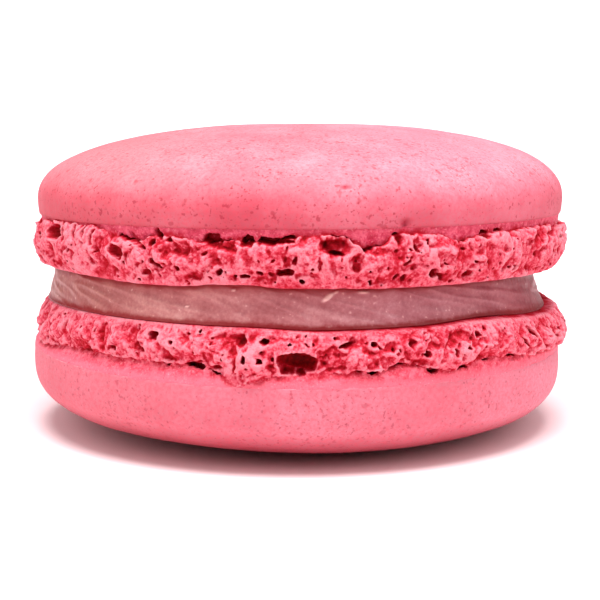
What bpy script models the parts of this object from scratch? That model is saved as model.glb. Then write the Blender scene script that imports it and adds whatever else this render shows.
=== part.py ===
"""A French macaron lying flat: a lower shell, a disc of soft filling and an upper shell.

Each shell is one baked piece, a smooth dome over a ruffled foot.  The filling is thicker
at the front, so the upper shell sits tipped a little backwards.  Metres, +Z up, the front
towards -Y, and the origin on the ground under the middle of the macaron.
"""

from math import atan2, cos, degrees, exp, hypot, pi, radians, sin, tan

import bmesh
import bpy
from mathutils import Vector, noise

MM = 0.001

# Driving dimensions
DOME_RADIUS = 22.3 * MM
FOOT_RADIUS = 22.65 * MM
CREASE_RADIUS = 22.0 * MM
WIDEST_ABOVE_CREASE = 1.2 * MM
LIP_ABOVE_CREASE = 0.25 * MM
FOOT_WIDEST_AT = 0.66  # share of the foot's height, from its base

LOWER_HEIGHT = 11.45 * MM
LOWER_FOOT_HEIGHT = 4.35 * MM
LOWER_BASE_RADIUS = 21.5 * MM
LOWER_CROWN_POWER = 3.4  # 2 is an ellipse, more is a flatter and squarer dome
LOWER_LEAN = 0.035  # how much deeper the lower shell is at its right side
LOWER_OFFSET = -0.35 * MM  # sideways
LOWER_DROOP = 0.6 * MM  # how far the lower shell's base sags at its left and right
REST_OVERSHOOT = 0.05 * MM  # the part of the crown that is flattened where it rests

UPPER_HEIGHT = 11.9 * MM
UPPER_FOOT_HEIGHT = 4.5 * MM
UPPER_BASE_RADIUS = 21.4 * MM
UPPER_CROWN_POWER = 2.35
UPPER_LEAN = 0.012
UPPER_TIP = radians(2.7)  # backwards, about the middle of its base

FILLING_HEIGHT = 2.0 * MM  # on the axis, between the two flat bases
FILLING_TOP_RADIUS = 20.3 * MM
FILLING_BOTTOM_RADIUS = 21.0 * MM
FILLING_OFFSET = -0.65 * MM  # sideways
GAP = 0.3 * MM

SEGMENTS = 112
FOOT_RINGS = 9
CROWN_RINGS = 7
BASE_RINGS = [0.85, 0.6]  # shares of the radius where a base that sags is divided
MERGE = 0.00001

# The foot's ruffles
RUFFLE_DEPTH = 0.9 * MM
RUFFLE_SIZE = 2.2 * MM
WAVER_DEPTH = 0.4 * MM
WAVER_SIZE = 7.0 * MM
CROWN_UNEVENNESS = 0.12 * MM
CROWN_WAVE = 14.0 * MM

# Hollows and lumps of a foot: degrees from the front towards +X, height above the
# foot's base, half width, half height and depth (less than nothing is a lump), in mm.
UPPER_HOLLOWS = [
    (-62.0, 3.4, 1.1, 0.7, 0.7),
    (-39.0, 2.4, 0.8, 0.6, 0.6),
    (-34.5, 3.6, 1.3, 0.4, 0.6),
    (-14.5, 3.5, 1.3, 0.6, 0.8),
    (-4.5, 3.6, 1.5, 0.4, 0.7),
    (7.0, 3.5, 1.0, 0.8, 0.9),
    (14.0, 3.0, 0.8, 0.6, 0.6),
    (28.0, 1.0, 0.6, 0.5, 0.5),
    (66.0, 3.4, 0.9, 0.6, 0.6),
]
LOWER_HOLLOWS = [
    (-59.0, 2.9, 0.8, 0.7, 0.6),
    (-31.0, 0.9, 0.7, 0.6, 0.7),
    (-20.0, 2.7, 1.4, 0.5, 0.7),
    (-12.0, 0.8, 0.7, 0.8, 0.7),
    (-10.0, 2.3, 1.6, 1.6, -0.7),
    (-1.0, 2.5, 1.7, 1.0, 1.3),
    (9.0, 0.9, 1.1, 0.5, 0.6),
    (27.0, 3.4, 1.0, 0.5, 0.6),
    (34.0, 2.2, 1.2, 1.0, -0.6),
    (54.0, 1.4, 1.2, 1.0, 0.6),
]


def foot_profile(base_radius, foot_height):
    """Points (radius, height) up the outer side of a foot, from its base to the crease."""
    points = []
    for ring in range(FOOT_RINGS):
        share = ring / (FOOT_RINGS - 1)
        if share < FOOT_WIDEST_AT:
            swell = sin(share / FOOT_WIDEST_AT * pi / 2) ** 0.8
            radius = base_radius + (FOOT_RADIUS - base_radius) * swell
        else:
            tuck = 1 - cos((share - FOOT_WIDEST_AT) / (1 - FOOT_WIDEST_AT) * pi / 2)
            radius = FOOT_RADIUS - (FOOT_RADIUS - CREASE_RADIUS) * tuck
        points.append((radius, share * foot_height))
    return points


def crown_profile(foot_height, height, power):
    """Points up the dome: its lip over the crease, its widest ring, then in to the axis."""
    widest = foot_height + WIDEST_ABOVE_CREASE
    points = [((CREASE_RADIUS + DOME_RADIUS) / 2 + 0.1 * MM, foot_height + LIP_ABOVE_CREASE)]
    for ring in range(CROWN_RINGS):
        angle = ring / CROWN_RINGS * pi / 2
        radius = DOME_RADIUS * cos(angle) ** (2 / power)
        points.append((radius, widest + (height - widest) * sin(angle) ** (2 / power)))
    points.append((0, height))
    return points


def droop(x):
    """How far the lower shell's base has sagged, at a distance left or right."""
    return LOWER_DROOP * (abs(x) / LOWER_BASE_RADIUS) ** 3


def turned_mesh(name, profile):
    """Turn a profile, given from the top down its outer side, about the Z axis."""
    line = bpy.data.meshes.new(name + "_profile")
    edges = [(i, i + 1) for i in range(len(profile) - 1)]
    line.from_pydata([(radius, 0, height) for radius, height in profile], edges, [])
    blank = bpy.data.objects.new(name + "_blank", line)
    bpy.context.scene.collection.objects.link(blank)
    screw = blank.modifiers.new("Turn", "SCREW")
    screw.axis = "Z"
    screw.angle = 2 * pi
    screw.steps = SEGMENTS
    screw.render_steps = SEGMENTS
    screw.use_merge_vertices = True
    screw.merge_threshold = MERGE
    bpy.context.view_layer.update()
    evaluated = blank.evaluated_get(bpy.context.evaluated_depsgraph_get())
    mesh = bpy.data.meshes.new_from_object(evaluated)
    mesh.name = name
    bpy.data.objects.remove(blank)
    bpy.data.meshes.remove(line)
    return mesh


def foot_relief(x, y, z, foot_height, hollows, seed):
    """How far a foot's surface stands out from its turned profile, at a point on it."""
    share = z / foot_height
    if not 0 < share < 1:
        return 0
    place = Vector((x, y, z))
    offset = Vector((seed, 0, 0))
    relief = RUFFLE_DEPTH * noise.noise(place / RUFFLE_SIZE + offset)
    relief += WAVER_DEPTH * noise.noise(place / WAVER_SIZE - offset)
    angle = degrees(atan2(x, -y))
    for at, height, half_width, half_height, depth in hollows:
        apart = (angle - at + 180) % 360 - 180
        across = radians(apart) * FOOT_RADIUS / (half_width * MM)
        up = (z - height * MM) / (half_height * MM)
        relief -= depth * MM * exp(-across * across - up * up)
    return relief * sin(pi * share) ** 0.5


def shape_shell(mesh, foot_height, hollows, seed, lean=0, limit=None):
    """Ruffle the foot, make the dome slightly uneven and flatten what is past the limit.

    Only the shell that has a limit, on which it rests, sags at the sides of its base.
    """
    shell = bmesh.new()
    shell.from_mesh(mesh)
    bmesh.ops.remove_doubles(shell, verts=shell.verts, dist=MERGE)
    for vert in shell.verts:
        x, y, z = vert.co
        radius = hypot(x, y)
        if radius > MERGE and 0 < z < foot_height:
            grown = 1 + foot_relief(x, y, z, foot_height, hollows, seed) / radius
            vert.co.x = x * grown
            vert.co.y = y * grown
        elif z > foot_height + LIP_ABOVE_CREASE:
            swell = noise.noise(vert.co / CROWN_WAVE + Vector((0, seed, 0)))
            vert.co.z = z + CROWN_UNEVENNESS * swell
        vert.co.z *= 1 + lean * x / DOME_RADIUS
        if limit is not None:
            sagging = max(0, 1 - z / foot_height)
            vert.co.z = min(vert.co.z + sagging * droop(x), limit)
    bmesh.ops.recalc_face_normals(shell, faces=shell.faces)
    shell.to_mesh(mesh)
    shell.free()
    mesh.shade_smooth()


def material(name, colour, roughness):
    finish = bpy.data.materials.new(name)
    finish.use_nodes = True
    shader = finish.node_tree.nodes["Principled BSDF"]
    shader.inputs["Base Color"].default_value = (*colour, 1)
    shader.inputs["Roughness"].default_value = roughness
    shader.inputs["Metallic"].default_value = 0
    finish.diffuse_color = (*colour, 1)
    return finish


def add_piece(name, mesh, finish, parts, parent):
    mesh.materials.clear()
    mesh.materials.append(finish)
    piece = bpy.data.objects.new(name, mesh)
    parts.objects.link(piece)
    piece.parent = parent
    return piece


def lower_shell(parts, parent, finish):
    """The lower shell is turned over: its foot is on top and it rests on its dome."""
    crown = crown_profile(LOWER_FOOT_HEIGHT, LOWER_HEIGHT + REST_OVERSHOOT, LOWER_CROWN_POWER)
    side = foot_profile(LOWER_BASE_RADIUS, LOWER_FOOT_HEIGHT)
    base = [(LOWER_BASE_RADIUS * share, 0) for share in BASE_RINGS]
    mesh = turned_mesh("lower_shell", [*reversed(crown), *reversed(side), *base, (0, 0)])
    turned_over = [(180 - at, *sizes) for at, *sizes in LOWER_HOLLOWS]
    shape_shell(mesh, LOWER_FOOT_HEIGHT, turned_over, 7.3, LOWER_LEAN, LOWER_HEIGHT)
    piece = add_piece("lower_shell", mesh, finish, parts, parent)
    piece.rotation_euler.x = pi
    piece.location = (LOWER_OFFSET, 0, LOWER_HEIGHT)
    return piece


def upper_shell(parts, parent, finish):
    crown = crown_profile(UPPER_FOOT_HEIGHT, UPPER_HEIGHT, UPPER_CROWN_POWER)
    side = foot_profile(UPPER_BASE_RADIUS, UPPER_FOOT_HEIGHT)
    mesh = turned_mesh("upper_shell", [*reversed(crown), *reversed(side), (0, 0)])
    shape_shell(mesh, UPPER_FOOT_HEIGHT, UPPER_HOLLOWS, 2.1, UPPER_LEAN)
    piece = add_piece("upper_shell", mesh, finish, parts, parent)
    piece.rotation_euler.x = -UPPER_TIP
    piece.location.z = LOWER_HEIGHT + FILLING_HEIGHT
    return piece


def filling(parts, parent, finish):
    """A disc whose side swells a little and whose top follows the tipped upper shell."""
    rings = 4
    side = []
    for ring in range(rings):
        share = ring / (rings - 1)
        slope = (FILLING_TOP_RADIUS - FILLING_BOTTOM_RADIUS) * share**0.7
        side.append((FILLING_BOTTOM_RADIUS + slope, share * MM))
    base = [(FILLING_BOTTOM_RADIUS * share, 0) for share in BASE_RINGS]
    mesh = turned_mesh("filling", [(0, MM), *reversed(side), *base, (0, 0)])
    disc = bmesh.new()
    disc.from_mesh(mesh)
    bmesh.ops.remove_doubles(disc, verts=disc.verts, dist=MERGE)
    for vert in disc.verts:
        waver = 1 + 0.012 * noise.noise(vert.co / (6 * MM))
        vert.co.x *= waver
        vert.co.y *= waver
        bottom = LOWER_HEIGHT + GAP - droop(vert.co.x + FILLING_OFFSET - LOWER_OFFSET)
        top = LOWER_HEIGHT + FILLING_HEIGHT - GAP - vert.co.y * tan(UPPER_TIP)
        vert.co.z = bottom + (top - bottom) * vert.co.z / MM
    bmesh.ops.recalc_face_normals(disc, faces=disc.faces)
    disc.to_mesh(mesh)
    disc.free()
    mesh.shade_smooth()
    piece = add_piece("filling", mesh, finish, parts, parent)
    piece.location.x = FILLING_OFFSET
    return piece


def stand_on_origin(root, pieces):
    """Bring the middle of the macaron's box over the origin and its lowest point to it."""
    bpy.context.view_layer.update()
    corners = [piece.matrix_world @ vert.co for piece in pieces for vert in piece.data.vertices]
    for axis in range(2):
        places = [corner[axis] for corner in corners]
        root.location[axis] = -(min(places) + max(places)) / 2
    root.location.z = -min(corner.z for corner in corners)


def main():
    for old in list(bpy.data.objects):
        bpy.data.objects.remove(old)
    parts = bpy.data.collections.new("macaron")
    bpy.context.scene.collection.children.link(parts)
    root = bpy.data.objects.new("macaron", None)
    parts.objects.link(root)
    crust = material("pink_meringue", (0.83, 0.23, 0.27), 0.6)
    foot_crust = material("pink_meringue_below", (0.80, 0.21, 0.25), 0.6)
    cream = material("mauve_cream", (0.52, 0.16, 0.18), 0.45)
    pieces = [
        lower_shell(parts, root, foot_crust),
        filling(parts, root, cream),
        upper_shell(parts, root, crust),
    ]
    stand_on_origin(root, pieces)


main()
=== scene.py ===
"""The looks of a French macaron: two smooth domes, their torn feet and a band of soft cream.

Each shell's foot is carved as a field on a grid bent round the shell, out of which its
surface is drawn as a mesh.  Lengths are in millimetres until a mesh is made.  Angles run
round the macaron from its front (-Y) towards its right (+X), in degrees in the lists here
and in radians in arrays.  Heights on a shell run from its flat base towards its crown, so on
the lower shell they run downwards.
"""
from math import cos, pi, radians, sin, tan

import bpy
import numpy as np
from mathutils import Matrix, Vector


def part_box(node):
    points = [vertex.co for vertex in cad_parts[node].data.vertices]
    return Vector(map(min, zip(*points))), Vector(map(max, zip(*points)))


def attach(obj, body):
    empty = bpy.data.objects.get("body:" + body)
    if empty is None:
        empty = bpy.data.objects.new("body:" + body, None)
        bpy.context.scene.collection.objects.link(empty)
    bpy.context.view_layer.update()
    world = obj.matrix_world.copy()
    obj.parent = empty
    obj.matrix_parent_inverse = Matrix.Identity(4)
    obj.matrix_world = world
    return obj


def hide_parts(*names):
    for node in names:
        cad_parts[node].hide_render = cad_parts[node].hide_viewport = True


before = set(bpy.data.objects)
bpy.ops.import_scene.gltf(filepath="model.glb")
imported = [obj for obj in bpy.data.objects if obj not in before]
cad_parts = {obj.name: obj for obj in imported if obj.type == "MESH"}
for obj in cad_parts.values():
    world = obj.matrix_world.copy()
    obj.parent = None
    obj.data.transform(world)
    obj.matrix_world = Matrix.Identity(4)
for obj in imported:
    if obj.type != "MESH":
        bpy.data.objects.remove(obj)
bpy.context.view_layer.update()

MM = 0.001

# The shells as the solids have them, apart from the lower crown, which is a little rounder
DOME_RADIUS = 22.3
WIDEST_ABOVE_CREASE = 1.2
UPPER_HEIGHT = 11.9
UPPER_FOOT_HEIGHT = 4.5
UPPER_BASE_RADIUS = 21.4
UPPER_CROWN_POWER = 2.35  # 2 is an ellipse, more is a flatter and squarer dome
UPPER_LEAN = 0.012  # how much deeper the shell is at its right side
UPPER_TIP = radians(2.7)  # backwards
LOWER_FOOT_HEIGHT = 4.35
LOWER_BASE_RADIUS = 21.5
LOWER_CROWN_POWER = 3.1
LOWER_LEAN = 0.035
LOWER_DROOP = 0.6  # how far the base hangs at its right side
REST_OVERSHOOT = 0.05  # the part of the lower crown that is flattened where it rests

# What the photo shows of the lower shell besides
LOWER_SAG = 0.6  # how much further its foot hangs at its right side
LOWER_FULLER = 0.008  # how much wider its dome is, as a share
LOWER_DOME_ASIDE = 0.2  # how far its dome is moved to the right
LOWER_FOOT_ASIDE = 0.65  # and its foot

# The feet's own form
FOOT_RADIUS = 22.75
WIDEST_SHARE = 0.62  # of a foot's height, from its base
MEAN_RADIUS = 22  # for turning angles on a foot into lengths
UPPER_SKIN_RADIUS = 22.05  # of the smooth skin, at the crease
LOWER_SKIN_RADIUS = 22.22
CAVE_DEPTH_RADIUS = 20.9  # how far inwards the caves reach
LUMP_ROUNDING = 0.16
HOLE_ROUNDING = 0.05
BASE_ROUNDING = 0.1

# The grid that a foot is carved on
CELL = 0.09
BACK_CELL = 0.14  # the width of the cells round the back
FRONT = radians(76)
INNER_RADIUS = 20.1
OUTER_RADIUS = 23.3
UNSEEN_RADIUS = 20.45  # the cream hides the base within this radius, up to this height
UNSEEN_HEIGHT = 0.2

# The holes that are strewn over a foot, and how much larger the placed ones are made
PIN_HOLES = 380
BROAD_HOLES = 110
HOLE_GROWTH = 1.1
HOLE_MARGIN = 0.04
HOLE_POWER = 2.4  # 2 is round, more is squarer
FAR = 9.0  # stands for the way to the next hole where there is none near

# The cream
CREAM_HEIGHT = 2.9  # about its height at the front
CREAM_RADIUS = 20.95  # at its bottom
CREAM_TAPER = 0.65  # how much less it is at the top
CREAM_FLARE = 0.5  # how much more it is at the lower right
CREAM_MEAN_RADIUS = 20.5
CREAM_GAP = 0.02  # between it and the shells' bases

# Suns: name, strength, then spread, lean from overhead and turn in degrees
LIGHTS = [("overhead", 4.1, 34, 13, 0), ("left", 1.3, 60, 50, -66), ("right", 1.5, 60, 50, 66)]

# Where the lumps' torn edge lies: angle, and how far it is from the crease
UPPER_EDGE = [
    (-75, 0.1), (-46, 0.15), (-41, 0.6), (-38, 0.9), (-34, 1.25), (-31, 0.7), (-29, 0.55),
    (-24, 0.75), (-20, 1), (-17.5, 1.15), (-14, 0.9), (-5, 1.05), (-1, 0.6), (1, 0.4), (5, 0.45),
    (8.5, 0.5), (10.5, 1.1), (13, 1.65), (16.5, 1.2), (18, 0.6), (20, 0.45), (28, 0.5), (33, 1.2),
    (37, 0.9), (44, 0.6), (60, 0.6), (75, 0.8)]
LOWER_EDGE = [
    (-75, 0.4), (-58, 1.3), (-48, 1.4), (-36, 1.4), (-25, 1.4), (-21, 1.6), (-18.5, 1.1),
    (-16, 1), (-13.5, 0.5), (-10.5, 0.1), (-8, 0.45), (-5, 0.9), (0, 1), (8, 1.15), (11, 1.35),
    (14, 1.05), (16.5, 1.3), (18.8, 1.8), (22, 1.7), (27, 1.1), (31, 0.9), (36, 1), (41, 1.5),
    (48, 1.4), (60, 1.2), (75, 0.8)]

# Caves over the torn edge: angle, half width in degrees, half height
UPPER_GAPES = [
    (-37.5, 2, 0.12), (-17.5, 2, 0.3), (-10.2, 1.4, 0.3), (-6.2, 2.2, 0.27), (-3, 2, 0.16),
    (13, 1.5, 0.08), (18.8, 0.8, 0.12), (40, 1.5, 0.16), (44, 1.2, 0.14)]
LOWER_GAPES = [
    (-28, 1.2, 0.1), (-21.4, 2.2, 0.22), (-17.2, 2, 0.1), (13.8, 1.3, 0.14), (19.5, 1.4, 0.1),
    (26.8, 1.5, 0.16), (34, 1.4, 0.13), (40.2, 1.3, 0.12), (48.5, 1.6, 0.12), (58, 1.5, 0.1)]

# Holes: angle, height, half width, half height, depth, tilt
UPPER_HOLLOWS = [
    (-62, 3.5, 1, 0.6, 1.3, 0), (-39.2, 2.45, 0.75, 0.42, 0.9, -30),
    (-34.5, 3.5, 1.2, 0.16, 1.1, -35), (-29.2, 1.65, 0.5, 0.12, 0.9, -20),
    (-30.2, 2, 0.22, 0.2, 0.8, 0), (-29, 4, 0.5, 0.2, 1.2, -45), (-30.2, 3.3, 0.34, 0.2, 0.9, 60),
    (-31.5, 1.1, 0.36, 0.22, 0.6, 0), (-15.4, 3.1, 1.1, 0.22, 0.95, -18),
    (-26.5, 3.65, 0.22, 0.2, 1, 0), (-17.6, 3.95, 0.6, 0.2, 1.4, 0),
    (-10.2, 3.45, 0.38, 0.3, 1.2, 0), (-4.6, 3.7, 1.25, 0.2, 1.2, -4),
    (-1.5, 4, 0.25, 0.17, 1.1, 0), (7, 2.72, 0.6, 0.22, 1.7, -6), (14, 2.75, 0.4, 0.16, 0.6, -20),
    (19.5, 3.7, 0.18, 0.35, 0.8, 0), (22.8, 3.05, 0.14, 0.3, 0.8, 15),
    (10.8, 1.65, 0.26, 0.38, 0.7, 0), (21, 2, 0.36, 0.12, 0.6, 35),
    (19, 0.9, 0.26, 0.13, 0.6, 50), (20.8, 0.75, 0.17, 0.24, 0.7, 0),
    (27, 1.1, 0.36, 0.28, 0.9, 0), (29.2, 0.78, 0.5, 0.18, 0.8, -35),
    (14, 0.55, 0.1, 0.2, 0.7, 20), (-21, 0.85, 0.45, 0.25, 0.5, 30),
    (-15.8, 1.1, 0.2, 0.22, 0.8, 0), (-10.8, 0.85, 0.34, 0.11, 0.7, -8),
    (-7.8, 1.15, 0.2, 0.1, 0.7, 0), (-2.9, 1.32, 0.62, 0.22, 1, 4),
    (-5.4, 1.15, 0.3, 0.17, 0.6, 0), (0.5, 0.6, 0.22, 0.15, 0.8, -25),
    (34, 2.75, 0.2, 0.13, 0.8, 20), (40, 3.65, 0.36, 0.16, 0.9, 0),
    (43.5, 3.75, 0.24, 0.15, 0.9, 0), (35.5, 0.88, 0.44, 0.2, 0.8, 20),
    (45, 1.2, 0.3, 0.13, 0.7, 40), (48.5, 1.05, 0.22, 0.12, 0.7, 40),
    (66, 3.55, 0.9, 0.36, 1.3, 20), (-52.5, 3.7, 0.22, 0.7, 0.6, 8),
    (-57, 3.6, 0.25, 0.75, 0.7, 0), (-49, 3.9, 0.2, 0.5, 0.6, -8), (-46, 3.5, 0.2, 0.7, 0.5, -12),
    (-1, 2.3, 0.25, 0.12, 0.6, 60), (-18.6, 2.6, 0.3, 0.12, 0.6, 20),
    (-24.5, 1.5, 0.16, 0.12, 0.6, 0)]
LOWER_HOLLOWS = [
    (-58.8, 3.1, 0.5, 0.18, 0.7, -20), (-58.5, 1.25, 0.5, 0.25, 0.5, -60),
    (-44.2, 2.45, 0.35, 0.3, 0.6, 0), (-40.8, 2.25, 0.25, 0.18, 0.6, 0),
    (-30.8, 0.85, 0.4, 0.28, 1.1, 0), (-35.5, 0.45, 0.14, 0.2, 0.7, -20),
    (-26.5, 1.3, 0.12, 0.1, 0.7, 0), (-21.2, 2.75, 0.65, 0.17, 1.1, -14),
    (-17, 3, 0.5, 0.13, 1, -14), (-12.2, 0.85, 0.42, 0.45, 1, -20),
    (-13.2, 2.5, 1, 0.1, 0.45, 88), (-7.3, 0.85, 0.34, 0.16, 1, -12),
    (-11.2, 2.15, 0.1, 0.35, 0.7, 0), (-8.3, 2.3, 0.13, 0.16, 0.7, 0),
    (-0.9, 2.3, 1.42, 0.72, 2, 6), (-0.3, 3.1, 0.36, 0.36, 1.7, 0),
    (-2.6, 2.9, 0.66, 0.42, 1.7, 10), (9, 0.95, 0.7, 0.15, 1.1, -12),
    (14.3, 1, 0.24, 0.22, 0.9, 0), (18, 1.4, 0.12, 0.1, 0.7, 0), (22.2, 1, 0.3, 0.22, 0.7, -50),
    (20, 2.4, 0.3, 0.22, 0.9, 0), (11.2, 3.05, 0.3, 0.13, 1, 0), (14, 3.3, 0.34, 0.13, 1, 0),
    (25.2, 1.9, 0.2, 0.26, 0.9, 0), (31.8, 2.1, 0.12, 0.3, 0.7, 0),
    (26.8, 3.35, 0.36, 0.16, 1.1, 0), (34, 3.3, 0.4, 0.12, 0.9, 6), (38, 0.9, 0.3, 0.2, 0.8, 40),
    (34.5, 1.8, 0.16, 0.14, 0.7, 0), (-47, 2.9, 0.6, 0.2, 0.7, -10),
    (52.5, 1.9, 0.7, 0.14, 0.8, 50), (56, 1.2, 0.5, 0.14, 0.8, 50),
    (48.5, 3.3, 0.5, 0.13, 0.8, 10)]

# Broad hollows, and lumps where the depth is below zero: as the holes, without a tilt
UPPER_RECESSES = [
    (-23.5, 2.9, 0.8, 0.7, 0.45), (-15.2, 3.3, 1, 0.4, 0.6), (-13, 2.9, 0.4, 0.4, 0.4),
    (7, 3.2, 1.1, 0.8, 1.3), (11.2, 2.3, 0.5, 0.6, 0.35), (14.3, 2.9, 0.9, 0.35, 0.35),
    (-20.5, 0.9, 0.7, 0.4, 0.3), (-16.2, 1.9, 0.5, 0.35, 0.25), (-38, 2.5, 0.7, 0.5, 0.3),
    (-27, 2.6, 0.5, 0.5, 0.3), (-2.4, 2.1, 0.35, 0.5, 0.3), (3.9, 1.9, 0.2, 0.5, 0.35),
    (23, 3.4, 0.4, 0.4, 0.3), (19.3, 3.75, 0.4, 0.45, 0.4), (-31, 3, 0.8, 0.9, 0.3),
    (-1.5, 3.2, 0.7, 0.6, -0.2), (-9, 1.9, 1.2, 0.8, -0.15), (-34.5, 2.3, 1, 1, -0.2),
    (27.5, 2.6, 1.7, 0.9, -0.2), (2.5, 2.6, 1.3, 1.2, -0.15)]
LOWER_RECESSES = [
    (-10, 2.3, 1.1, 1.7, -0.4), (34, 2.3, 0.75, 0.75, -0.3), (-13.4, 1.6, 0.35, 0.5, 0.3),
    (-6, 2.4, 0.3, 0.8, 0.3), (6.5, 2.3, 1, 0.8, 0.4), (16.5, 2.5, 1, 0.6, 0.35),
    (-26, 2.2, 1.4, 0.5, 0.35), (24, 2.6, 0.7, 0.4, 0.3), (31, 1.4, 0.5, 0.5, 0.3),
    (-51, 2.5, 1.2, 0.6, 0.35), (-34, 1.9, 0.6, 0.4, 0.25), (37, 1.5, 0.6, 0.5, 0.3)]

# Pale flakes on the cream: angle, share of its height, half length, half width, tilt
CREAM_FLAKES = [
    (7.6, 0.78, 0.5, 0.17, 33), (9.3, 0.9, 0.2, 0.1, 20), (15.3, 0.9, 0.45, 0.1, 0),
    (-12.5, 0.86, 0.14, 0.1, 0), (-23, 0.45, 0.12, 0.08, 0)]

# Dents in the crust: angle, height over the crease, half width, half height, depth
UPPER_DENTS = [(20.9, 0.32, 0.34, 0.4, 0.3), (9, 3.1, 0.45, 0.14, 0.13)]


# ---- numbers and noise

def smoothstep(low, high, value):
    """0 at low and 1 at high, with a smooth rise or, where low is the greater, a smooth fall."""
    share = np.clip((value - low) / (high - low), 0, 1)
    return share * share * (3 - 2 * share)


def smooth_max(a, b, width):
    """The greater of two fields, rounded over a width where they are nearly equal."""
    blend = np.clip(width - np.abs(a - b), 0, None)
    return np.maximum(a, b) + blend * blend / (4 * width)


def smooth_min(a, b, width):
    return -smooth_max(-a, -b, width)


def degrees_apart(angle, other):
    """How far an angle in radians is round from another in degrees, from -180 to 180."""
    return (np.degrees(angle) - other + 180) % 360 - 180


class Noise:
    """Gradient noise from about -1 to 1, with one seeded set of gradients."""

    def __init__(self, seed):
        rng = np.random.default_rng(seed)
        self.order = np.tile(rng.permutation(256), 2)
        steps = rng.normal(size=(256, 3))
        self.steps = (steps / np.linalg.norm(steps, axis=1)[:, None]).astype(np.float32)

    def __call__(self, x, y, z, size):
        """The noise at each place, with features about size across."""
        place = [np.asarray(c, dtype=np.float32) / size for c in (x, y, z)]
        place = np.broadcast_arrays(*place)
        cell = [np.floor(c).astype(np.int32) for c in place]
        part = [p - c for p, c in zip(place, cell)]
        fade = [p * p * p * (p * (p * 6 - 15) + 10) for p in part]
        total = 0
        for corner in range(8):
            bits = [(corner >> axis) & 1 for axis in range(3)]
            key = self.order[(cell[0] + bits[0]) & 255]
            key = self.order[key + ((cell[1] + bits[1]) & 255)]
            key = self.order[key + ((cell[2] + bits[2]) & 255)]
            step = self.steps[key]
            value = sum(step[..., axis] * (part[axis] - bits[axis]) for axis in range(3))
            for axis in range(3):
                value = value * (fade[axis] if bits[axis] else 1 - fade[axis])
            total = total + value
        return total * 1.6

    def layered(self, x, y, z, size, octaves):
        """The noise with finer and weaker layers on top."""
        total = 0
        for octave in range(octaves):
            scale = 2.03**octave
            total = total + self(x + 17 * octave, y, z, size / scale) / scale
        return total


# ---- a foot as a field

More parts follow.
